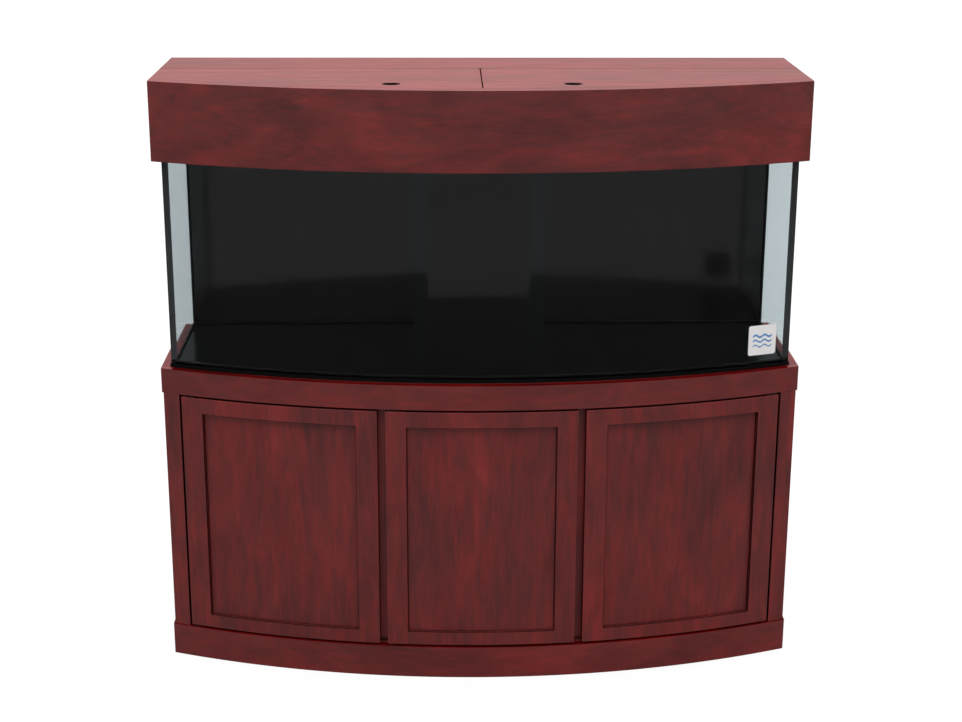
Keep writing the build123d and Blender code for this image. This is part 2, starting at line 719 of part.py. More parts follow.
def standpipe():
    """Drain standpipe pushed into its bulkhead, with intake slots under its cap."""
    radius = DRAIN_PIPE_R - PIPE_SLACK
    top = OVERFLOW_TOP - STANDPIPE_DROP
    pipe = upright(DRAIN_X, PLUMBING_DEPTH, radius, (pipe_bottom(), top))
    pipe -= upright(DRAIN_X, PLUMBING_DEPTH, radius - 3.7, (0, top + 5))
    slot = Box(2 * radius + 10, 6, 50)
    for turn in (0, 45, 90, 135):
        pipe -= Pos(DRAIN_X, BACK_Y - PLUMBING_DEPTH, top - 45) * Rot(0, 0, turn) * slot
    return pipe


def standpipe_cap():
    radius = DRAIN_PIPE_R - PIPE_SLACK
    top = OVERFLOW_TOP - STANDPIPE_DROP
    cap = upright(DRAIN_X, PLUMBING_DEPTH, radius + 4, (top - 12, top + 5))
    cap -= upright(DRAIN_X, PLUMBING_DEPTH, radius + 0.05, (top - 20, top))
    return cap - upright(DRAIN_X, PLUMBING_DEPTH, 3, (top - 5, top + 10))


def return_pipe():
    """Riser from the return bulkhead, bent forward over the weir."""
    radius = RETURN_PIPE_R - PIPE_SLACK
    top = OVERFLOW_TOP - RETURN_DROP
    y = BACK_Y - PLUMBING_DEPTH
    shift = RETURN_BEND * (1 - cos(pi / 4))
    foot = Vector(RETURN_X, y, pipe_bottom())
    bend_start = Vector(RETURN_X, y, top - RETURN_BEND)
    bend_middle = Vector(RETURN_X, y - shift, top - shift)
    bend_end = Vector(RETURN_X, y - RETURN_BEND, top)
    mouth = Vector(RETURN_X, y - RETURN_REACH, top)
    bend = ThreePointArc(bend_start, bend_middle, bend_end)
    path = Wire([Line(foot, bend_start), bend, Line(bend_end, mouth)])
    ring = Plane(foot, z_dir=(0, 0, 1)) * (Circle(radius) - Circle(radius - 3.3))
    return sweep(ring, path=path)


# ---------------------------------------------------------------- canopy

def canopy_front():
    board = wide(CANOPY, CANOPY_WIDTH / 2, (0, BOARD), (CANOPY_BOTTOM, CANOPY_TOP))
    return fillet(front_top_edge(board), EASE)


def canopy_side(side):
    heights = (CANOPY_BOTTOM, LID_BOTTOM)
    board = block((side * CANOPY_WIDTH / 2, side * SIDE_INNER), (0, CANOPY_SIDE_DEPTH), heights)
    return board & CANOPY.disc(BOARD, heights)


def canopy_back():
    """Back board with two notches over the glass for hoses and leads."""
    board = block((-SIDE_INNER, SIDE_INNER), (0, BOARD), (CANOPY_BOTTOM, LID_BOTTOM))
    heights = (CANOPY_BOTTOM - 5, TANK_TOP + CANOPY_NOTCH_RISE)
    for x in (-CANOPY_NOTCH_X, CANOPY_NOTCH_X):
        board -= block((x - CANOPY_NOTCH_HALF, x + CANOPY_NOTCH_HALF), (-5, BOARD + 5), heights)
    return board


def canopy_rear_top():
    half = CANOPY_WIDTH / 2
    board = block((-half, half), (0, REAR_TOP_DEPTH), (LID_BOTTOM, CANOPY_TOP))
    ends = top_edges(board).filter_by(Axis.Y)
    back = top_edges(board).filter_by(Axis.X).sort_by(Axis.Y)[-1]
    return fillet(list(ends) + [back], EASE)


def canopy_front_strip():
    heights = (LID_BOTTOM, CANOPY_TOP)
    return wide(CANOPY, CANOPY_WIDTH / 2, (BOARD, BOARD + FRONT_STRIP), heights)


def canopy_rib():
    heights = (LID_BOTTOM - BOARD, LID_BOTTOM)
    rib = block((-RIB_HALF, RIB_HALF), (REAR_TOP_DEPTH - 2 * RIB_HALF, BEYOND), heights)
    return rib & CANOPY.disc(BOARD, heights)


def canopy_cleats():
    """Ledges that rest on the glass, and blocks in the four corners."""
    ledge = (TANK_TOP, TANK_TOP + BOARD)
    cleats = [block((side * SIDE_INNER, side * (SIDE_INNER - 18)), (60, 400), ledge) for side in (-1, 1)]
    cleats.append(block((-480, 480), (BOARD, BOARD + 17), ledge))
    tall = (TANK_TOP + BOARD + 10, LID_BOTTOM)
    for side in (-1, 1):
        span = (side * SIDE_INNER, side * (SIDE_INNER - CORNER_BLOCK))
        cleats.append(block(span, (BOARD, BOARD + CORNER_BLOCK), tall))
        cleats.append(block(span, (400, 500), tall) & CANOPY.disc(BOARD, tall))
    return cleats


def lid(side):
    """One lid, with its finger hole; it lies over the side board and stops at the front strip."""
    heights = (LID_BOTTOM, CANOPY_TOP)
    rear = LID_HINGE_DEPTH + LID_HINGE_GAP / 2
    panel = block((side * CANOPY_WIDTH / 2, side * LID_SEAM / 2), (rear, BEYOND), heights)
    panel &= CANOPY.disc(BOARD + FRONT_STRIP + LID_FRONT_GAP, heights)
    panel = fillet(outer_top_edge(panel, side), EASE)
    hole = upright(side * FINGER_HOLE_X, FINGER_HOLE_DEPTH, FINGER_HOLE_R, (LID_BOTTOM - 5, CANOPY_TOP + 5))
    panel -= hole
    rim = panel.edges().filter_by(GeomType.CIRCLE).filter_by(lambda edge: edge.radius < 2 * FINGER_HOLE_R)
    return fillet(rim, 2)


def hinge_barrel(x_range, radius):
    low, high = x_range
    axis = Pos((low + high) / 2, BACK_Y - LID_HINGE_DEPTH, HINGE_Z)
    return axis * Rot(0, 90, 0) * Cylinder(radius, high - low)


def hinge_leaf(side, behind):
    """One leaf of a piano hinge; behind is 1 for the canopy's leaf and -1 for the lid's."""
    face = LID_HINGE_DEPTH - behind * LID_HINGE_GAP / 2
    plate, web = sorted((face, face + behind * LEAF)), sorted((face, LID_HINGE_DEPTH))
    inner, outer = HINGE_SPAN
    pitch = (outer - inner) / KNUCKLES
    leaf = block((side * inner, side * outer), plate, (LID_BOTTOM + 1.5, HINGE_Z - KNUCKLE_R - 1))
    for index in range(0 if behind > 0 else 1, KNUCKLES, 2):
        near = inner + index * pitch + KNUCKLE_GAP / 2
        knuckle = sorted((side * near, side * (near + pitch - KNUCKLE_GAP)))
        leaf += block(knuckle, plate, (HINGE_Z - KNUCKLE_R - 1, HINGE_Z + 1))
        leaf += block(knuckle, web, (HINGE_Z - 1, HINGE_Z + 1)) + hinge_barrel(knuckle, KNUCKLE_R)
        leaf -= hinge_barrel((knuckle[0] - 1, knuckle[1] + 1), HINGE_PIN_R + 0.05)
    return leaf


def hinge_pins():
    inner, outer = HINGE_SPAN
    return [hinge_barrel(sorted((side * inner, side * outer)), HINGE_PIN_R) for side in (-1, 1)]


# ---------------------------------------------------------------- every node

NODES = {
    "plinth_front": plinth_front(),
    "plinth_left": plinth_side(-1),
    "plinth_right": plinth_side(1),
    "plinth_back": plinth_back(),
    "plinth_sleepers": plinth_sleepers(),
    "floor_deck": floor_deck(),
    "side_panel_left": side_panel(-1),
    "side_panel_right": side_panel(1),
    "back_panel": back_panel(),
    "corner_stile_left": corner_stile(-1),
    "corner_stile_right": corner_stile(1),
    "apron": apron(),
    "rim_strip_left": rim_strip(-1),
    "rim_strip_right": rim_strip(1),
    "mullions": mullions(),
    "frame_posts": frame_posts(),
    "deck_beams": deck_beams(),
    "top_deck": top_deck(),
    "pivot_bushes": pivot_bushes(),
    "catch_magnets": catch_magnets(),
    "levelling_mat": levelling_mat(),
    "tank_bottom_trim": bottom_trim(),
    "tank_floor": tank_floor(),
    "tank_back": tank_back(),
    "tank_front": tank_front(),
    "tank_end_left": tank_end(-1),
    "tank_end_right": tank_end(1),
    "top_brace": top_brace(),
    "silicone_seams": silicone_seams(),
    "overflow_box": overflow_box(),
    "drain_bulkhead": bulkhead(bulkheads()["drain"]),
    "return_bulkhead": bulkhead(bulkheads()["return"]),
    "bulkhead_gaskets": bulkhead_gaskets(),
    "bulkhead_nuts": bulkhead_nuts(),
    "standpipe": standpipe(),
    "standpipe_cap": standpipe_cap(),
    "return_pipe": return_pipe(),
    "canopy_front": canopy_front(),
    "canopy_side_left": canopy_side(-1),
    "canopy_side_right": canopy_side(1),
    "canopy_back": canopy_back(),
    "canopy_rear_top": canopy_rear_top(),
    "canopy_front_strip": canopy_front_strip(),
    "canopy_rib": canopy_rib(),
    "canopy_cleats": canopy_cleats(),
    "canopy_hinge_leaves": [hinge_leaf(-1, 1), hinge_leaf(1, 1)],
    "hinge_pins": hinge_pins(),
    "lid_left": lid(-1),
    "lid_right": lid(1),
    "lid_left_hinge_leaf": hinge_leaf(-1, -1),
    "lid_right_hinge_leaf": hinge_leaf(1, -1),
}
for name, door in doors().items():
    NODES[f"door_{name}_frame"] = door_frame(door)
    NODES[f"door_{name}_panel"] = door_panel(door)
    NODES[f"door_{name}_hardware"] = door_pivots(door) + door_strikes(door)

for name, shape in NODES.items():
    solids = shape if isinstance(shape, list) else [shape]
    export_step(Compound(children=solids), f"parts/{name}.step")
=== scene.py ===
import math

import bmesh
import bpy
from mathutils import Matrix, Vector


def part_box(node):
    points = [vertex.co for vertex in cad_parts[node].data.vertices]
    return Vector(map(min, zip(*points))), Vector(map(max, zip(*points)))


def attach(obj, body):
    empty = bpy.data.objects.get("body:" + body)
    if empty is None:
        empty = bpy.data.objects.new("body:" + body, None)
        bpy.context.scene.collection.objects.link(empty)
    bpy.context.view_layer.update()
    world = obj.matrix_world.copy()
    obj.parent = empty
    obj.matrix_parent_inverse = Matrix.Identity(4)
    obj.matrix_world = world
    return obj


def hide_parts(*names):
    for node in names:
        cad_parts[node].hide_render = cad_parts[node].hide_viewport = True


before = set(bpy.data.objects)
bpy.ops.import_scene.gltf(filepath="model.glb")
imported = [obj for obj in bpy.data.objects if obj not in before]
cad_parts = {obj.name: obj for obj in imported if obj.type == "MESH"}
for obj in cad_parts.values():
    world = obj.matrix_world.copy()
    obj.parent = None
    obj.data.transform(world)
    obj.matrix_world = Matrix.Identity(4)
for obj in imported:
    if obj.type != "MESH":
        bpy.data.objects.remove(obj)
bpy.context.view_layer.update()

# Bow-front aquarium on a dark stained cabinet, under a lift-off canopy. Metres, +Z up, front towards -Y.

# ---------------------------------------------------------------- sizes

MM = 0.001
BACK_Y = 329.5 * MM            # back plane of stand and canopy

CANOPY_HALF = 940 * MM
CANOPY_BOARD = 19 * MM
FRONT_STRIP = 23 * MM
FACE_BOARD = 20 * MM
RIM_HALF = 945 * MM
PLINTH_PROUD = 3.5 * MM
PLINTH_BOARD = 22 * MM
EASE = 1.2 * MM                # rounding of exposed edges
STRIP_EASE = 0.4 * MM
PANEL_EASE = 0.5 * MM
GLASS_EASE = 0.8 * MM

TANK_HALF = 914.4 * MM
GLASS = 12.7 * MM
FLOOR_SEAM_TOP = 945 * MM      # just over the silicone that lies along the floor

REVEAL_X = 893 * MM            # just outside the corner stiles' inner edges
MULLION_ARC = 292.5 * MM
MULLION_HALF = 33 * MM
MULLION_RECESS = 25 * MM
MULLION_BACK = 63 * MM

DOOR_BOTTOM = 105 * MM
DOOR_TOP = 842 * MM
TOP_RAIL = 47 * MM
BOTTOM_RAIL = 42 * MM
PANEL_RECESS = 11 * MM
PANEL = 6 * MM
PANEL_TONGUE = 7.5 * MM

# Door name: first and last arc on the cabinet's face, widths of its two stiles, and the side of its hinge.
DOORS = {
    "left": (-904.5 * MM, -304.5 * MM, 67 * MM, 63 * MM, -1),
    "middle": (-281 * MM, 281 * MM, 61.5 * MM, 61.5 * MM, -1),
    "right": (304.5 * MM, 904.5 * MM, 63 * MM, 67 * MM, 1),
}

FINGER_HOLE = (254 * MM, BACK_Y - 531 * MM)
FINGER_HOLE_R = 26 * MM        # a little over the hole's own 25.4, to take in its whole wall

STICKER_ARCS = (798 * MM, 888.5 * MM)
STICKER_HEIGHTS = (965.5 * MM, 1056.5 * MM)
STICKER_CORNER = 7 * MM
STICKER_LIFT = 0.2 * MM        # clear of the glass
STICKER_THICK = 0.12 * MM
WAVE_LIFT = 0.32 * MM
WAVE_HALF_LENGTH = 31 * MM
WAVE_STEP = 1.5 * MM
WAVE_SWING = 3.5 * MM
WAVE_TURN = 210                # radians per metre
WAVE_HALF_WIDTHS = (3.2 * MM, 2.6 * MM, 2.0 * MM)
WAVE_FIRST = 58 * MM           # uppermost line above the sticker's lower edge
WAVE_PITCH = 15 * MM

STEP = 12 * MM                 # longest facet along a bow


class Bow:
    """A circular bow in plan, bulging towards -Y. Depths are measured inwards from its face."""

    def __init__(self, half_width, corner_depth, rise):
        self.radius = (half_width**2 + rise**2) / (2 * rise)
        self.centre_y = BACK_Y - corner_depth - rise + self.radius

    def at(self, arc, depth, z):
        angle, reach = arc / self.radius, self.radius - depth
        return Vector((reach * math.sin(angle), self.centre_y - reach * math.cos(angle), z))

    def at_x(self, x, depth, z):
        reach = self.radius - depth
        return Vector((x, self.centre_y - math.sqrt(reach**2 - x**2), z))


CABINET = Bow(CANOPY_HALF, 469 * MM, 179 * MM)
CANOPY = Bow(CANOPY_HALF, 479 * MM, 180 * MM)
TANK = Bow(TANK_HALF, 455.5 * MM, 167.5 * MM)


# ---------------------------------------------------------------- mesh helpers

def new_piece(name, mesh, material, body, smooth_angle=35):
    """Links a mesh as a piece that rides on a body. Its flat faces stay flat up to their eased edges."""
    mesh.shade_smooth()
    mesh.set_sharp_from_angle(angle=math.radians(smooth_angle))
    mesh = baked(mesh, ("WEIGHTED_NORMAL", {"weight": 90, "keep_sharp": True}))
    mesh.materials.append(material)
    obj = bpy.data.objects.new(name, mesh)
    bpy.context.scene.collection.objects.link(obj)
    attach(obj, body)
    return obj


def baked(mesh, *modifiers):
    """The mesh with modifiers applied; each is a type and its settings."""
    obj = bpy.data.objects.new("work", mesh)
    bpy.context.scene.collection.objects.link(obj)
    for kind, settings in modifiers:
        modifier = obj.modifiers.new(kind.lower(), kind)
        for key, value in settings.items():
            setattr(modifier, key, value)
    result = bpy.data.meshes.new_from_object(obj.evaluated_get(bpy.context.evaluated_depsgraph_get()))
    bpy.data.objects.remove(obj)
    return result


def rounded(mesh, width, segments=2):
    return baked(mesh, ("BEVEL", {"width": width, "segments": segments, "limit_method": "ANGLE",
                                  "angle_limit": math.radians(40), "harden_normals": False}))


def closed_rings(rings, capped):
    """A mesh through closed rings of points. Capped closes its ends; otherwise the last meets the first."""
    mesh = bpy.data.meshes.new("rings")
    count = len(rings[0])
    points = [point for ring in rings for point in ring]
    faces = []
    spans = len(rings) - 1 if capped else len(rings)
    for i in range(spans):
        here, there = i * count, (i + 1) % len(rings) * count
        for j in range(count):
            k = (j + 1) % count
            faces.append((here + j, there + j, there + k, here + k))
    if capped:
        faces.append(tuple(range(count)))
        faces.append(tuple(reversed(range(len(points) - count, len(points)))))
    mesh.from_pydata([tuple(p) for p in points], [], faces)
    bm = bmesh.new()
    bm.from_mesh(mesh)
    bmesh.ops.recalc_face_normals(bm, faces=bm.faces)
    bm.to_mesh(mesh)
    bm.free()
    return mesh


def steps(first, last, longest=STEP):
    count = max(1, math.ceil(abs(last - first) / longest))
    return [first + (last - first) * i / count for i in range(count + 1)]


def bowed(place, spans, depths, heights, ease):
    """A bowed board with eased edges. place turns (station, depth, z) into a point."""
    front, back = depths
    low, high = heights
    corners = ((front, low), (front, high), (back, high), (back, low))
    rings = [[place(s, depth, z) for depth, z in corners] for s in steps(*spans)]
    mesh = closed_rings(rings, capped=True)
    return rounded(mesh, ease) if ease else mesh


def joined(meshes):
    bm = bmesh.new()
    for mesh in meshes:
        bm.from_mesh(mesh)
    result = bpy.data.meshes.new("joined")
    bm.to_mesh(result)
    bm.free()
    return result


def box_z(node):
    low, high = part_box(node)
    return low.z, high.z


# ---------------------------------------------------------------- materials

def shader(name):
    """A material with one Principled shader, and short ways to add and link nodes."""
    mat = bpy.data.materials.new(name)
    mat.use_nodes = True
    tree = mat.node_tree
    tree.nodes.clear()
    out = tree.nodes.new("ShaderNodeOutputMaterial")
    bsdf = tree.nodes.new("ShaderNodeBsdfPrincipled")
    tree.links.new(bsdf.outputs[0], out.inputs[0])
    return mat, tree, bsdf


def add(tree, kind, inputs=None, **settings):
    node = tree.nodes.new("ShaderNode" + kind)
    for key, value in settings.items():
        setattr(node, key, value)
    for key, value in (inputs or {}).items():
        if isinstance(value, bpy.types.NodeSocket):
            tree.links.new(value, node.inputs[key])
        else:
            node.inputs[key].default_value = value
    return node


def noise(tree, vector, scale, detail=4, rough=0.55, distortion=0.0):
    node = add(tree, "TexNoise", {"Vector": vector, "Scale": scale, "Detail": detail, "Roughness": rough,
                                  "Distortion": distortion})
    return node.outputs["Fac"]


def math_node(tree, operation, a, b):
    return add(tree, "Math", {0: a, 1: b}, operation=operation).outputs[0]


def ramp(tree, fac, stops):
    node = add(tree, "ValToRGB", {"Fac": fac})
    elements = node.color_ramp.elements
    while len(elements) < len(stops):
        elements.new(0.5)
    for element, (position, colour) in zip(elements, stops):
        element.position = position
        element.color = (*colour, 1) if isinstance(colour, tuple) else (colour, colour, colour, 1)
    return node.outputs["Color"]


def tinted(tree, colour, tone):
    node = add(tree, "MixRGB", {"Fac": 1.0, "Color1": colour, "Color2": tone}, blend_type="MULTIPLY")
    return node.outputs["Color"]


def stretched(tree, along, seed, factor):
    """Object coordinates squeezed along the grain, so that noise draws out into streaks."""
    coords = add(tree, "TexCoord").outputs["Object"]
    scale = [1.0, 1.0, 1.0]
    scale["xyz".index(along)] = factor
    offset = (seed * 3.17 % 7, seed * 1.73 % 5, seed * 2.39 % 6)
    return add(tree, "Mapping", {"Vector": coords, "Location": offset, "Scale": scale}).outputs[0]


DARK = (0.100, 0.0170, 0.0165)
MID = (0.152, 0.0190, 0.0185)
LIGHT = (0.215, 0.0210, 0.0200)


def stained_wood(name, along, seed, shade=1.0, roughness=0.36, level=0.5, tint=(1, 1, 1), spread=1.0,
                 smear=0.10):
    """Dark red stained wood: broad clouds, drawn-out streaks and fine fibres, under a satin lacquer.

    spread widens the range of the grain's colours, smear is how far broad patches are lighter or darker.
    """
    mat, tree, bsdf = shader(name)
    clouds = noise(tree, stretched(tree, along, seed, 0.35), 5.5, 3, 0.5, 0.5)
    streaks = noise(tree, stretched(tree, along, seed + 5, 0.13), 48, 5, 0.62, 0.7)
    fibres = noise(tree, stretched(tree, along, seed + 9, 0.04), 260, 3, 0.6)
    mix = math_node(tree, "MULTIPLY", clouds, 0.36)
    mix = math_node(tree, "ADD", mix, math_node(tree, "MULTIPLY", streaks, 0.42))
    mix = math_node(tree, "ADD", mix, math_node(tree, "MULTIPLY", fibres, 0.22))
    stops = [(0.50 - 0.10 / spread, DARK), (0.50, MID), (0.50 + 0.10 / spread, LIGHT)]
    colour = ramp(tree, mix, [(p, tuple(c * k * shade for c, k in zip(rgb, tint))) for p, rgb in stops])
    patches = noise(tree, stretched(tree, along, seed + 13, 0.45), 7, 4, 0.6, 1.2)
    tone = ramp(tree, patches, [(0.33, 1 - 1.6 * smear), (0.5, 1.0), (0.67, 1 + 1.6 * smear)])
    colour = tinted(tree, colour, tone)
    bsdf.inputs["Specular IOR Level"].default_value = level
    tree.links.new(colour, bsdf.inputs["Base Color"])
    gloss = ramp(tree, streaks, [(0.3, roughness + 0.06), (0.7, roughness - 0.05)])
    tree.links.new(gloss, bsdf.inputs["Roughness"])
    bump = add(tree, "Bump", {"Height": fibres, "Strength": 0.12, "Distance": 0.0004})
    tree.links.new(bump.outputs[0], bsdf.inputs["Normal"])
    return mat


def from_middle(tree, centre_x, centre_y):
    """Distance from the object's middle plane, and the square of the distance from an upright axis."""
    coords = add(tree, "TexCoord").outputs["Object"]
    place = add(tree, "SeparateXYZ", {0: coords})
    aside = math_node(tree, "ABSOLUTE", place.outputs["X"], 0.0)
    across = math_node(tree, "SUBTRACT", aside, centre_x)
    along = math_node(tree, "SUBTRACT", place.outputs["Y"], centre_y)
    square = math_node(tree, "ADD", math_node(tree, "MULTIPLY", across, across),
                       math_node(tree, "MULTIPLY", along, along))
    return aside, square


def darken(material, kept, dark):
    """Multiplies a wood's colour by dark wherever kept is 0."""
    tree = material.node_tree
    bsdf = tree.nodes["Principled BSDF"]
    tone = ramp(tree, kept, [(0.0, dark), (1.0, 1.0)])
    colour = bsdf.inputs["Base Color"].links[0].from_socket
    tree.links.new(tinted(tree, colour, tone), bsdf.inputs["Base Color"])


def paint_finger_hole_shade(material):
    """Paints the inside of the two finger holes dark, as painted shade."""
    tree = material.node_tree
    square = from_middle(tree, *FINGER_HOLE)[1]
    darken(material, math_node(tree, "GREATER_THAN", square, FINGER_HOLE_R**2), 0.06)


def paint_reveal_shade(material):
    """Darkens the corner stiles' edges beside the doors, as painted shade in the gaps."""
    tree = material.node_tree
    aside, square = from_middle(tree, 0.0, CABINET.centre_y)
    on_face = math_node(tree, "GREATER_THAN", square, (CABINET.radius - 1 * MM)**2)
    outside = math_node(tree, "GREATER_THAN", aside, REVEAL_X)
    darken(material, math_node(tree, "MAXIMUM", on_face, outside), 0.12)


def plain(name, colour, roughness, vary=0.15, scale=40, bump=0.0, metallic=0.0, level=0.5):
    """A moulded or metal finish with faint mottling in colour and gloss."""
    mat, tree, bsdf = shader(name)
    coords = add(tree, "TexCoord").outputs["Object"]
    mottle = noise(tree, coords, scale, 5)
    low, high = (tuple(c * (1 + k) for c in colour) for k in (-vary, vary))
    tree.links.new(ramp(tree, mottle, [(0.3, low), (0.7, high)]), bsdf.inputs["Base Color"])
    gloss = ramp(tree, mottle, [(0.3, roughness * 0.85), (0.7, min(1.0, roughness * 1.15))])
    tree.links.new(gloss, bsdf.inputs["Roughness"])
    bsdf.inputs["Metallic"].default_value = metallic
    bsdf.inputs["Specular IOR Level"].default_value = level
    if bump:
        node = add(tree, "Bump", {"Height": mottle, "Strength": bump, "Distance": 0.0005})
        tree.links.new(node.outputs[0], bsdf.inputs["Normal"])
    return mat


def clear_glass(name, tint, index):
    """Float glass. A low refractive index keeps its reflections faint."""
    mat, tree, bsdf = shader(name)
    coords = add(tree, "TexCoord").outputs["Object"]
    streaks = noise(tree, coords, 3, 2)
    dimmed = tuple(c * 0.985 for c in tint)
    tree.links.new(ramp(tree, streaks, [(0.3, dimmed), (0.7, tint)]), bsdf.inputs["Base Color"])
    bsdf.inputs["Roughness"].default_value = 0
    bsdf.inputs["Transmission Weight"].default_value = 1
    bsdf.inputs["IOR"].default_value = index
    return mat


def silicone():
    """Grey where it is squeezed against the bow glass, black along the back and the floor."""
    mat, tree, bsdf = shader("silicone")
    coords = add(tree, "TexCoord").outputs["Object"]
    mottle = noise(tree, coords, 60, 3)
    place = add(tree, "SeparateXYZ", {0: coords})
    raised = math_node(tree, "GREATER_THAN", place.outputs["Z"], FLOOR_SEAM_TOP)
    forward = math_node(tree, "LESS_THAN", place.outputs["Y"], 0.0)
    black = ramp(tree, mottle, [(0.3, 0.009), (0.7, 0.011)])
    grey = ramp(tree, mottle, [(0.3, (0.040, 0.043, 0.046)), (0.7, (0.046, 0.049, 0.052))])
    share = math_node(tree, "MULTIPLY", raised, forward)
    colour = add(tree, "MixRGB", {"Fac": share, "Color1": black, "Color2": grey}).outputs["Color"]
    tree.links.new(colour, bsdf.inputs["Base Color"])
    bsdf.inputs["Roughness"].default_value = 0.5
    bsdf.inputs["Specular IOR Level"].default_value = 0.1
    return mat


DOOR_SEEDS = {"left": 1.0, "middle": 2.3, "right": 3.9}
DOOR_WOODS = {name: stained_wood(f"wood_door_{name}", "z", seed) for name, seed in DOOR_SEEDS.items()}
# Painted light: a lighter copy of the corner stiles' wood for the recessed mullion posts, against the shade
# in their slots.
WOOD_STILE_LIT = stained_wood("wood_upright_painted_light", "z", 6.1, shade=1.18)
WOOD_CORNER = stained_wood("wood_corner", "z", 6.1)
# Painted shade on the corner stiles' edges beside the doors.
paint_reveal_shade(WOOD_CORNER)
WOOD_ACROSS = stained_wood("wood_across", "x", 7.7, shade=1.04, spread=0.75, smear=0.12)
WOOD_CANOPY = stained_wood("wood_canopy", "x", 9.2, shade=1.02, spread=0.8, smear=0.16)
WOOD_REAR_TOP = stained_wood("wood_rear_top", "x", 10.3, shade=0.95, level=0.45, spread=0.6, smear=0.03)
WOOD_TOP = stained_wood("wood_canopy_top", "x", 11.4, level=0.55, spread=0.6, smear=0.03)
# Painted shade inside the lids' finger holes.
paint_finger_hole_shade(WOOD_TOP)
WOOD_SIDE = stained_wood("wood_side", "z", 12.8)
WOOD_SIDE_ACROSS = stained_wood("wood_side_across", "y", 14.1, level=0.25)
# Painted shade: a near-black copy of the wood for the walls of the doors' moulding.
WOOD_QUIRK_SHADE = stained_wood("wood_quirk_painted_shade", "z", 17.3, shade=0.14, roughness=0.7, level=0.0)
# Painted shade: a darker copy of the wood for the doors' bead and outer edges, so that the bead shows no
# highlight and the gaps read dark.
WOOD_BEAD_SHADE = stained_wood("wood_bead_painted_shade", "z", 18.9, shade=0.34, roughness=0.6, level=0.1)
# Painted shade: a dark, saturated copy of the wood that stands for the contact shadow along the plinth's and
# apron's top ledges.
WOOD_LEDGE_SHADE = stained_wood("wood_ledge_painted_shade", "x", 20.2, shade=0.42, roughness=0.6, level=0.0, tint=(1, 0.2, 0.18))
# Painted shade: a darker copy of the wood for the inner carcass, so that the gaps between doors and boards
# read dark.
WOOD_INNER_SHADE = stained_wood("wood_inner_painted_shade", "x", 16.0, shade=0.8, roughness=0.6)
FRONT_GLASS = clear_glass("front_glass", (1, 1, 1), 1.12)
END_GLASS = clear_glass("end_glass", (0.84, 0.965, 1.0), 1.25)
BLACK_BACK = plain("black_glass_back", (0.0022, 0.0024, 0.0026), 0.13, vary=0.3, scale=6, level=0.65)
BLACK_FLOOR = plain("black_glass_floor", (0.0016, 0.0017, 0.0018), 0.2, vary=0.3, scale=6, level=0.1)
SILICONE = silicone()
BLACK_TRIM = plain("black_trim", (0.0025, 0.0025, 0.0025), 0.5, level=0.1)
BLACK_ACRYLIC = plain("black_acrylic", (0.0022, 0.0024, 0.0026), 0.13, vary=0.3, scale=6, level=0.62)
PIPE = plain("grey_pipe", (0.035, 0.036, 0.038), 0.4, bump=0.05)
RUBBER = plain("rubber", (0.012, 0.012, 0.012), 0.7, bump=0.1)
FOAM = plain("foam", (0.018, 0.018, 0.018), 0.9, scale=600, bump=0.3)
BRONZE = plain("bronzed_brass", (0.22, 0.085, 0.06), 0.38, metallic=0.7)
STEEL = plain("blackened_steel", (0.045, 0.042, 0.042), 0.38, metallic=0.6)
NYLON = plain("nylon", (0.03, 0.025, 0.025), 0.45)
DECAL_WHITE = plain("decal_white", (0.97, 0.94, 0.94), 0.35, vary=0.01)
DECAL_BLUE = plain("decal_blue", (0.10, 0.30, 0.62), 0.35, vary=0.1)


def paint(node, material):
    """Gives a CAD node its finish."""
    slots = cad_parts[node].material_slots
    for slot in slots:
        slot.material = material


# ---------------------------------------------------------------- wooden pieces

def board_piece(node, material, body, place, spans, depths, ease=EASE, ledge_shade=None):
    """A bowed board that stands for a CAD node. Its last argument paints shade on its top: a darker
    material, and how far out that goes.
    """
    mesh = bowed(place, spans, depths, box_z(node), ease)
    if ledge_shade:
        # finish here is the painted shade for the board's top faces.
        finish, half = ledge_shade
        top = max(v.co.z for v in mesh.vertices)
        for face in mesh.polygons:
            face.material_index = int(face.center.z > top - ease and abs(face.center.x) < half)
    piece = new_piece(f"{node}_board", mesh, material, body)
    if ledge_shade:
        piece.data.materials.append(finish)
    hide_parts(node)


def make_bowed_boards():
    stand_width = (-RIM_HALF, RIM_HALF)
    plinth_depths = (-PLINTH_PROUD, PLINTH_BOARD - PLINTH_PROUD)
    board_piece("plinth_front", WOOD_ACROSS, "stand_and_tank", CABINET.at_x, stand_width, plinth_depths,
                ledge_shade=(WOOD_LEDGE_SHADE, RIM_HALF))
    board_piece("apron", WOOD_ACROSS, "stand_and_tank", CABINET.at_x, stand_width, (0, FACE_BOARD),
                ledge_shade=(WOOD_LEDGE_SHADE, TANK_HALF))
    canopy_width = (-CANOPY_HALF, CANOPY_HALF)
    strip_depths = (CANOPY_BOARD, CANOPY_BOARD + FRONT_STRIP)
    board_piece("canopy_front", WOOD_CANOPY, "canopy", CANOPY.at_x, canopy_width, (0, CANOPY_BOARD))
    board_piece("canopy_front_strip", WOOD_TOP, "canopy", CANOPY.at_x, canopy_width, strip_depths,
                ease=STRIP_EASE)


def make_mullions():
    depths, heights = (MULLION_RECESS, MULLION_BACK), box_z("mullions")
    meshes = []
    for arc in (-MULLION_ARC, MULLION_ARC):
        meshes.append(bowed(CABINET.at, (arc - MULLION_HALF, arc + MULLION_HALF), depths, heights, EASE))
    piece = new_piece("mullion_posts", joined(meshes), WOOD_STILE_LIT, "stand_and_tank")
    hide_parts("mullions")


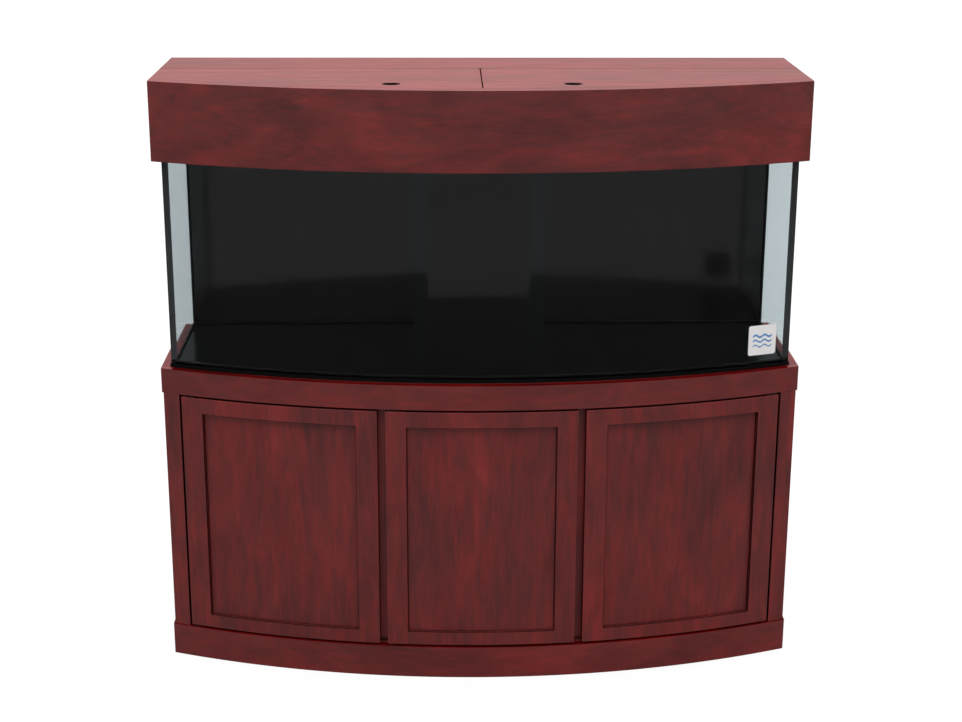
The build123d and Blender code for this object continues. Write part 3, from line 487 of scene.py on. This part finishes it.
# Each profile below is a list of inset and depth, in millimetres.
STICKING = [
    # from the frame's face to the panel: a sharp edge, a steep wall, a bead and a second wall
    (-1.2, 0.0), (-0.4, 0.0), (0.0, 0.4), (0.0, 4.4), (1.0, 4.8), (1.8, 6.0), (2.0, 7.4), (2.0, 11.4),
]
HINGE_EDGE = [
    # the hinge edge's back corner, rounded about the pivot
    (8.0, 20.0), (5.6, 18.6), (2.9, 17.0), (0.8, 14.0), (0.0, 10.0),
]
BACK_CORNER = 0.8              # the other edges' back corner
OUTER_FRONT = [(0.0, 1.2), (0.35, 0.35), (1.2, 0.0), (1.8, 0.0)]

# Bands between one ring of a door and the next that are painted darker than its face, as painted shade.
SHADED_WALLS = (1, 2, 6)           # walls of the moulding, painted dark as shade
BEAD = (3, 4, 5)
OUTER_EDGE = (9, 10, 11, 12, 13)

FRAME_DIVISIONS = (48, 8)      # across and up


def inset_ring(edges, left, right, ends, depth):
    """Edges are left, right, bottom and top. All insets and the depth are in millimetres."""
    first, last, bottom, top = edges
    return (first + left * MM, last - right * MM, bottom + ends * MM, top - ends * MM, depth * MM)


def frame_rings(inner, outer, hinge):
    """The door frame's section, ring by ring: down its moulding, across its back and up its outer edge."""
    rings = [inset_ring(inner, inset, inset, inset, depth) for inset, depth in STICKING]
    rings.append((*inner, FACE_BOARD))
    for inset, depth in HINGE_EDGE:
        corner = BACK_CORNER if (inset, depth) == HINGE_EDGE[0] else 0.0
        left = inset if hinge < 0 else corner
        right = inset if hinge > 0 else corner
        rings.append(inset_ring(outer, left, right, corner, depth))
    rings += [inset_ring(outer, inset, inset, inset, depth) for inset, depth in OUTER_FRONT]
    return rings


def ring_points(left, right, bottom, top, depth):
    """Points round a rectangle on the cabinet's face, starting at its lower left corner."""
    columns, rows = FRAME_DIVISIONS
    xs = [left + (right - left) * i / columns for i in range(columns + 1)]
    zs = [bottom + (top - bottom) * i / rows for i in range(rows + 1)]
    outline = [(x, bottom) for x in xs[:-1]] + [(right, z) for z in zs[:-1]]
    outline += [(x, top) for x in reversed(xs[1:])] + [(left, z) for z in reversed(zs[1:])]
    return [CABINET.at(x, depth, z) for x, z in outline]


def make_door(name, first, last, stile_first, stile_last, hinge):
    body = f"door_{name}"
    wood = DOOR_WOODS[name]
    inner = (first + stile_first, last - stile_last, DOOR_BOTTOM + BOTTOM_RAIL, DOOR_TOP - TOP_RAIL)
    outer = (first, last, DOOR_BOTTOM, DOOR_TOP)
    rings = [ring_points(*ring) for ring in frame_rings(inner, outer, hinge)]
    mesh = closed_rings(rings, capped=False)
    # Painted shade: the moulding's walls, the bead and the outer edges take darker copies of the wood.
    for face in mesh.polygons:
        band = face.index // (2 * sum(FRAME_DIVISIONS))
        if band in SHADED_WALLS:
            face.material_index = 1
        elif band in BEAD + OUTER_EDGE:
            face.material_index = 2
    piece = new_piece(f"door_{name}_frame_wood", mesh, wood, body)
    piece.data.materials.append(WOOD_QUIRK_SHADE)
    piece.data.materials.append(WOOD_BEAD_SHADE)
    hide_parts(f"door_{name}_frame")
    spans = (inner[0] - PANEL_TONGUE, inner[1] + PANEL_TONGUE)
    heights = (inner[2] - PANEL_TONGUE, inner[3] + PANEL_TONGUE)
    mesh = bowed(CABINET.at, spans, (PANEL_RECESS, PANEL_RECESS + PANEL), heights, PANEL_EASE)
    piece = new_piece(f"door_{name}_panel_wood", mesh, wood, body)
    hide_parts(f"door_{name}_panel")


def paint_flat_boards():
    for node in ("plinth_left", "plinth_right", "rim_strip_left", "rim_strip_right", "canopy_side_left",
                 "canopy_side_right"):
        paint(node, WOOD_SIDE_ACROSS)
    for node in ("side_panel_left", "side_panel_right"):
        paint(node, WOOD_SIDE)
    for node in ("corner_stile_left", "corner_stile_right"):
        paint(node, WOOD_CORNER)
    for node in ("canopy_back", "canopy_rear_top"):
        paint(node, WOOD_REAR_TOP)
    for node in ("lid_left", "lid_right"):
        paint(node, WOOD_TOP)
    for node in ("plinth_back", "plinth_sleepers", "floor_deck", "back_panel", "frame_posts", "deck_beams",
                 "top_deck", "canopy_rib", "canopy_cleats"):
        paint(node, WOOD_INNER_SHADE)


# ---------------------------------------------------------------- tank

def make_front_glass():
    mesh = bowed(TANK.at_x, (-TANK_HALF, TANK_HALF), (0, GLASS), box_z("tank_front"), GLASS_EASE)
    piece = new_piece("tank_front_glass", mesh, FRONT_GLASS, "stand_and_tank")
    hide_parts("tank_front")


def sheet_on_glass(columns, low, high, lift):
    """A thin sheet on the bow glass; low and high turn a column's arc into its two heights."""
    mesh = bpy.data.meshes.new("sheet")
    points, faces = [], []
    for arc in columns:
        points += [TANK.at(arc, -lift, low(arc)), TANK.at(arc, -lift, high(arc))]
    for i in range(len(columns) - 1):
        a = 2 * i
        faces.append((a, a + 2, a + 3, a + 1))
    mesh.from_pydata([tuple(p) for p in points], [], faces)
    return baked(mesh, ("SOLIDIFY", {"thickness": STICKER_THICK, "offset": 0}))


def make_sticker():
    """A plain white sticker with rounded corners."""
    first, last = STICKER_ARCS
    bottom, top = STICKER_HEIGHTS
    corner, middle = STICKER_CORNER, (first + last) / 2

    def inset(arc):
        over = max(0.0, abs(arc - middle) - ((last - first) / 2 - corner))
        return corner - math.sqrt(max(0.0, corner**2 - over**2))

    rounding = [corner * (1 - math.cos(math.radians(a))) for a in range(0, 91, 10)]
    columns = [first + r for r in rounding] + steps(first + corner, last - corner)[1:-1]
    columns += [last - r for r in reversed(rounding)]
    mesh = sheet_on_glass(columns, lambda a: bottom + inset(a), lambda a: top - inset(a), STICKER_LIFT)
    base = new_piece("decal_sticker", mesh, DECAL_WHITE, "stand_and_tank")


def wavy_line(level, half_width):
    middle = sum(STICKER_ARCS) / 2

    def edge(offset):
        return lambda arc: level + offset + WAVE_SWING * math.sin((arc - middle) * WAVE_TURN)

    columns = steps(middle - WAVE_HALF_LENGTH, middle + WAVE_HALF_LENGTH, WAVE_STEP)
    return sheet_on_glass(columns, edge(-half_width), edge(half_width), WAVE_LIFT)


def make_sticker_waves():
    """Three wavy lines across the sticker, each thinner than the one above."""
    first = STICKER_HEIGHTS[0] + WAVE_FIRST
    waves = [wavy_line(first - WAVE_PITCH * row, half) for row, half in enumerate(WAVE_HALF_WIDTHS)]
    lines = new_piece("decal_waves", joined(waves), DECAL_BLUE, "stand_and_tank")


def paint_tank():
    for node in ("tank_end_left", "tank_end_right", "top_brace"):
        paint(node, END_GLASS)
    paint("tank_back", BLACK_BACK)
    paint("tank_floor", BLACK_FLOOR)
    paint("silicone_seams", SILICONE)
    paint("tank_bottom_trim", BLACK_TRIM)
    paint("levelling_mat", FOAM)
    paint("overflow_box", BLACK_ACRYLIC)
    for node in ("drain_bulkhead", "return_bulkhead", "bulkhead_nuts", "standpipe", "standpipe_cap",
                 "return_pipe"):
        paint(node, PIPE)
    paint("bulkhead_gaskets", RUBBER)


def paint_hardware():
    for node in ("canopy_hinge_leaves", "lid_left_hinge_leaf", "lid_right_hinge_leaf", "hinge_pins"):
        paint(node, BRONZE)
    for node in ("catch_magnets", "door_left_hardware", "door_middle_hardware", "door_right_hardware"):
        paint(node, STEEL)
    paint("pivot_bushes", NYLON)


# ---------------------------------------------------------------- studio

FLOOR_REACH = 30
FLOOR_RETURN = (0.117, 0.117, 0.117, 1)     # what the floor sends back to the object
FLOOR_SHADOWED = (0.10, 0.10, 0.10, 1)      # the part of the seen floor that takes shadows
FLOOR_GLOW = 0.85
SKY = [(0.0, 0.072), (0.40, 0.072), (0.7, 0.094), (1.0, 0.88)]     # height and light, brightest overhead
SKY_STRENGTH = 8.0
CAMERA_AT = (-0.10876, -5.19514, 2.52649)
CAMERA_ANGLES = (1.236, 17.387, 0.188)      # yaw, pitch down and roll, in degrees
CAMERA_LENS = 67.06
CAMERA_SENSOR = 36


def seen_straight(tree):
    """1 for what is seen past the object or through its glass, 0 for light that reaches its surfaces."""
    path = add(tree, "LightPath")
    bounces = add(tree, "Math", {0: path.outputs["Glossy Depth"], 1: path.outputs["Diffuse Depth"]},
                  operation="ADD")
    direct = add(tree, "Math", {0: path.outputs["Is Camera Ray"], 1: path.outputs["Is Transmission Ray"]},
                 operation="ADD")
    both = add(tree, "Math", {0: direct.outputs[0], 1: bounces.outputs[0]}, operation="SUBTRACT")
    for node in (direct, both):
        node.use_clamp = True
    return both.outputs[0]


def make_floor():
    """A pale floor that shows almost white, with a faint shadow, and returns little light to the object."""
    mesh = bpy.data.meshes.new("floor")
    reach = FLOOR_REACH
    corners = [(-reach, -reach, 0), (reach, -reach, 0), (reach, reach, 0), (-reach, reach, 0)]
    mesh.from_pydata(corners, [], [(0, 1, 2, 3)])
    mat, tree, bsdf = shader("studio_floor")
    tree.nodes.remove(bsdf)
    out = tree.nodes["Material Output"]
    grey = add(tree, "BsdfDiffuse", {"Color": FLOOR_RETURN})
    pale = add(tree, "BsdfDiffuse", {"Color": FLOOR_SHADOWED})
    glow = add(tree, "Emission", {"Color": (1, 1, 1, 1), "Strength": FLOOR_GLOW})
    bright = add(tree, "AddShader", {0: pale.outputs[0], 1: glow.outputs[0]})
    both = add(tree, "MixShader", {0: seen_straight(tree), 1: grey.outputs[0], 2: bright.outputs[0]})
    tree.links.new(both.outputs[0], out.inputs[0])
    mat.cycles.emission_sampling = "NONE"
    mesh.materials.append(mat)
    floor = bpy.data.objects.new("studio_floor", mesh)
    bpy.context.scene.collection.objects.link(floor)


def make_world():
    """A plain white backdrop that lights the object from above and all round."""
    world = bpy.data.worlds.new("studio")
    bpy.context.scene.world = world
    world.use_nodes = True
    tree = world.node_tree
    tree.nodes.clear()
    out = tree.nodes.new("ShaderNodeOutputWorld")
    coords = add(tree, "TexCoord").outputs["Generated"]
    height = add(tree, "SeparateXYZ", {0: coords}).outputs["Z"]
    sky = ramp(tree, height, SKY)
    lit = add(tree, "Background", {"Color": sky, "Strength": SKY_STRENGTH})
    shown = add(tree, "Background", {"Color": (1, 1, 1, 1), "Strength": 1.0})
    both = add(tree, "MixShader", {0: seen_straight(tree), 1: lit.outputs[0], 2: shown.outputs[0]})
    tree.links.new(both.outputs[0], out.inputs[0])


def make_camera():
    yaw, pitch, roll = (math.radians(angle) for angle in CAMERA_ANGLES)
    forward = Vector((math.sin(yaw) * math.cos(pitch), math.cos(yaw) * math.cos(pitch), -math.sin(pitch)))
    right = Vector((math.cos(yaw), -math.sin(yaw), 0))
    up = right.cross(forward)
    tilted_right = right * math.cos(roll) + up * math.sin(roll)
    tilted_up = up * math.cos(roll) - right * math.sin(roll)
    turn = Matrix((tilted_right, tilted_up, -forward)).transposed()
    data = bpy.data.cameras.new("camera")
    data.lens = CAMERA_LENS
    data.sensor_width = CAMERA_SENSOR
    data.clip_end = 100
    camera = bpy.data.objects.new("camera", data)
    bpy.context.scene.collection.objects.link(camera)
    camera.matrix_world = Matrix.Translation(CAMERA_AT) @ turn.to_4x4()
    bpy.context.scene.camera = camera


make_bowed_boards()
make_mullions()
for door, layout in DOORS.items():
    make_door(door, *layout)
paint_flat_boards()
make_front_glass()
make_sticker()
make_sticker_waves()
paint_tank()
paint_hardware()
make_floor()
make_world()
make_camera()
bpy.context.scene.view_settings.view_transform = "Standard"
